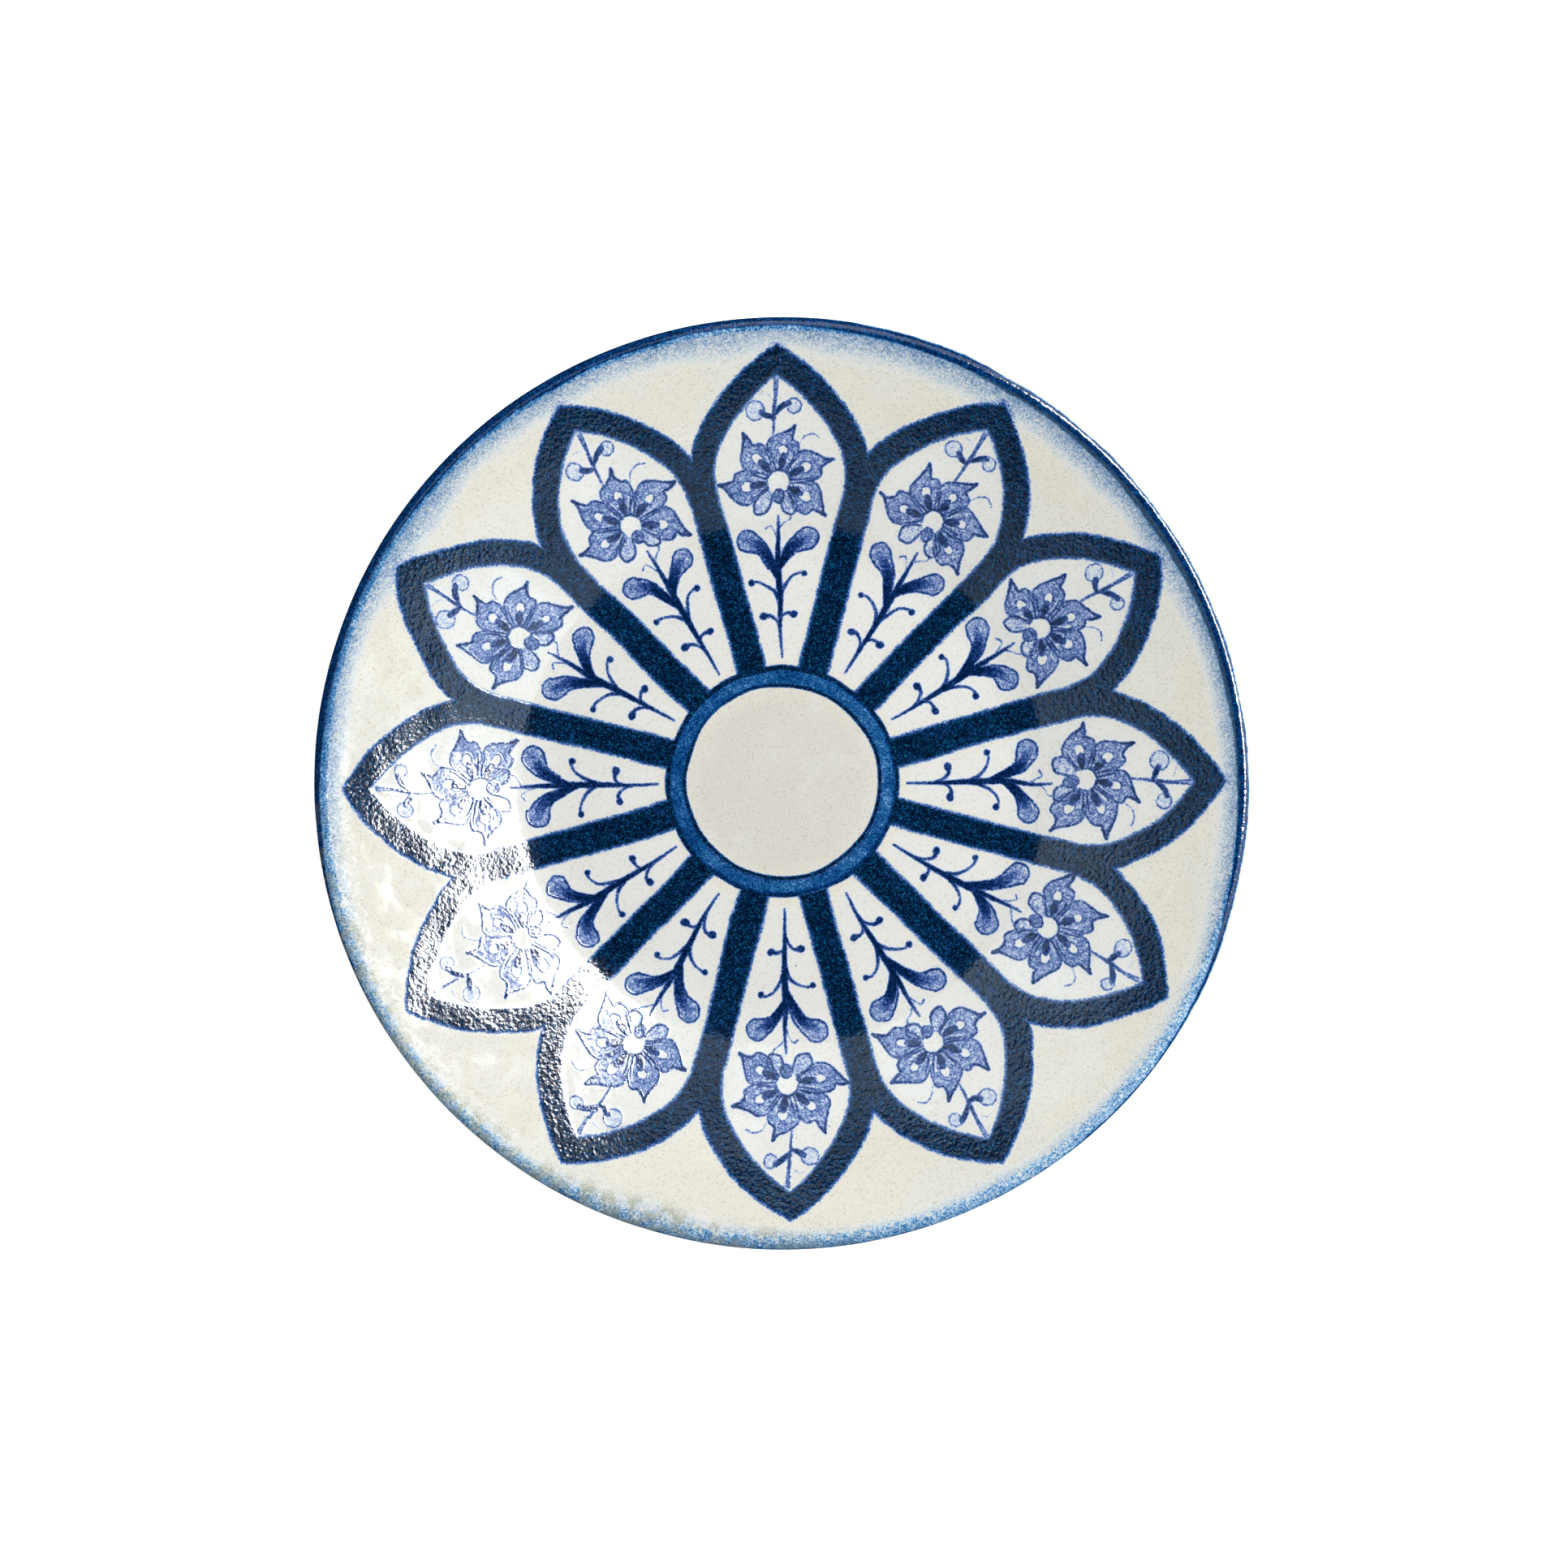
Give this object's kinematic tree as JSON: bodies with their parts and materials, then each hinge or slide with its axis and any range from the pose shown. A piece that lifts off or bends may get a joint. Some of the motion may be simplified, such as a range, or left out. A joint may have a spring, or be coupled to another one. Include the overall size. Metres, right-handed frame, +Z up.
{
  "type": "painted ceramic plate",
  "caption": "Round glazed pottery plate with a level well, a straight sloping rim and a foot ring, painted in cobalt with a ring of pointed petals and flower sprigs.",
  "frame": {"origin": "centre of the face that the foot ring stands on", "axes": "+Z up through the middle of the plate, +Y along petal 01"},
  "size_m": [0.25, 0.25, 0.028],
  "materials": {
    "fired_clay": "matt",
    "bare_foot_clay": "matt",
    "face_glaze": "gloss",
    "back_glaze": "gloss",
    "lip_cobalt": "gloss",
    "sprayed_wash": "gloss",
    "pale_cobalt": "gloss",
    "line_cobalt": "gloss",
    "deep_cobalt": "satin",
    "brush_cobalt": "gloss",
    "flower_wash": "gloss"
  },
  "bodies": {
    "root": {"clay_body": "fired_clay", "foot_ring": "bare_foot_clay", "face_glaze": "face_glaze", "back_glaze": "back_glaze", "base_glaze": "back_glaze", "lip_band": "lip_cobalt", "rim_wash": "sprayed_wash", "centre_ring": "pale_cobalt", "ring_inner_line": "line_cobalt", "ring_outer_line": "line_cobalt", "petal_outline_01": "deep_cobalt", "petal_outline_02": "deep_cobalt", "petal_outline_03": "deep_cobalt", "petal_outline_04": "deep_cobalt", "petal_outline_05": "deep_cobalt", "petal_outline_06": "deep_cobalt", "petal_outline_07": "deep_cobalt", "petal_outline_08": "deep_cobalt", "petal_outline_09": "deep_cobalt", "petal_outline_10": "deep_cobalt", "petal_outline_11": "deep_cobalt", "petal_outline_12": "deep_cobalt", "sprig_01": "brush_cobalt", "sprig_02": "brush_cobalt", "sprig_03": "brush_cobalt", "sprig_04": "brush_cobalt", "sprig_05": "brush_cobalt", "sprig_06": "brush_cobalt", "sprig_07": "brush_cobalt", "sprig_08": "brush_cobalt", "sprig_09": "brush_cobalt", "sprig_10": "brush_cobalt", "sprig_11": "brush_cobalt", "sprig_12": "brush_cobalt", "blossom_01": "flower_wash", "blossom_02": "flower_wash", "blossom_03": "flower_wash", "blossom_04": "flower_wash", "blossom_05": "flower_wash", "blossom_06": "flower_wash", "blossom_07": "flower_wash", "blossom_08": "flower_wash", "blossom_09": "flower_wash", "blossom_10": "flower_wash", "blossom_11": "flower_wash", "blossom_12": "flower_wash"}
  },
  "joints": []
}
